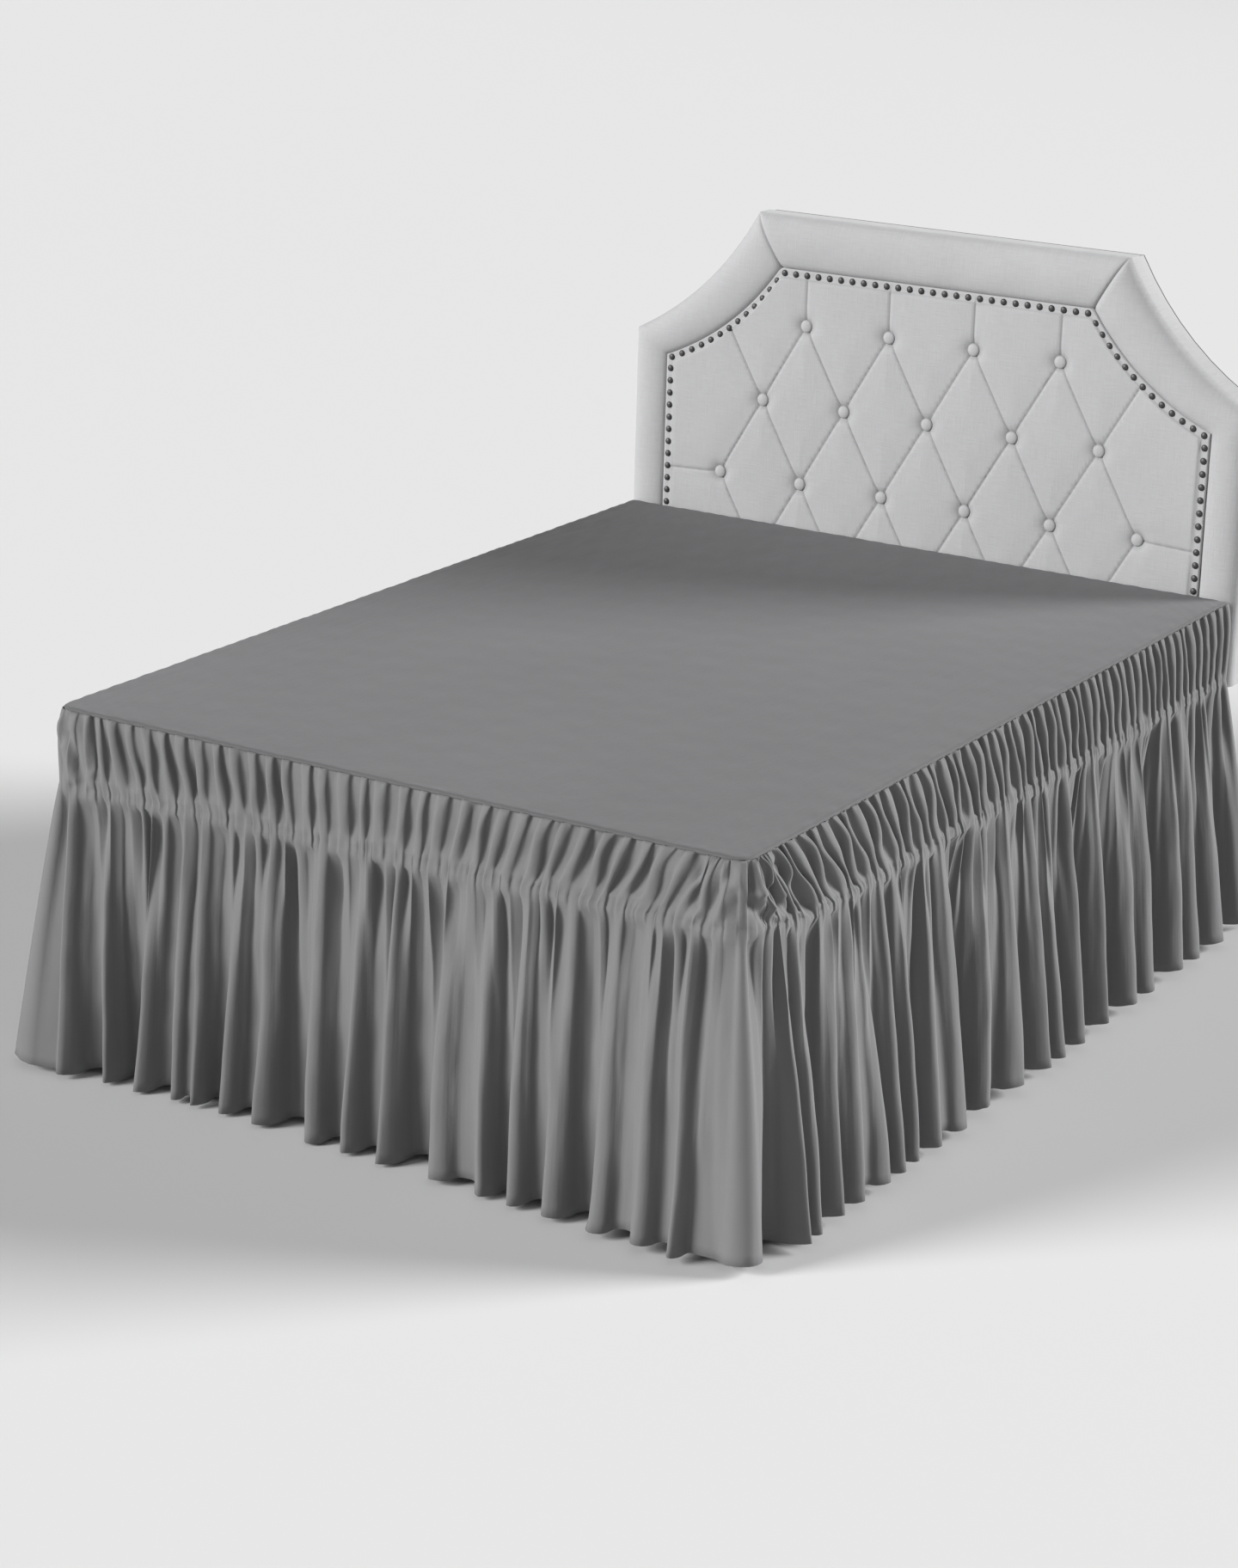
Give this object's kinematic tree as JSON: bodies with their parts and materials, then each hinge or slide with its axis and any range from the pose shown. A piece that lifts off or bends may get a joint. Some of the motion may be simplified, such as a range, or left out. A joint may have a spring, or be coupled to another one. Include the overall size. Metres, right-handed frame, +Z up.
{
  "type": "bed skirt on a bed base with a headboard",
  "caption": "Gathered cloth bed skirt with a shirred heading, wide folds and a flat deck panel, on a box base with a steel frame and a tufted headboard.",
  "frame": {"origin": "on the floor under the middle of the bed's deck", "axes": "+X to the right as seen from the foot end, +Y from the foot end to the headboard, +Z up"},
  "size_m": [1.6024, 2.1383, 1.304],
  "materials": {
    "skirt_cloth": "matt brushed polyester cloth, dark grey",
    "headboard_linen": "woven linen-like upholstery, light grey",
    "base_ticking": "plain ticking, off-white",
    "back_board": "board stained black, matt",
    "frame_steel": "black powder coat, satin",
    "nail_metal": "dark antiqued nail heads, satin"
  },
  "bodies": {
    "root": {"skirt_left": "skirt_cloth", "skirt_foot": "skirt_cloth", "skirt_right": "skirt_cloth", "deck_panel": "skirt_cloth", "box_base": "base_ticking", "rail_left": "frame_steel", "rail_middle": "frame_steel", "rail_right": "frame_steel", "rail_foot": "frame_steel", "rail_head": "frame_steel", "leg_left_1": "frame_steel", "leg_left_2": "frame_steel", "leg_left_3": "frame_steel", "leg_middle_1": "frame_steel", "leg_middle_2": "frame_steel", "leg_middle_3": "frame_steel", "leg_right_1": "frame_steel", "leg_right_2": "frame_steel", "leg_right_3": "frame_steel", "headboard_border": "headboard_linen", "headboard_panel": "headboard_linen", "headboard_back": "back_board", "headboard_strut_left": "back_board", "headboard_strut_right": "back_board", "headboard_plate_left": "frame_steel", "headboard_plate_right": "frame_steel"}
  },
  "joints": []
}
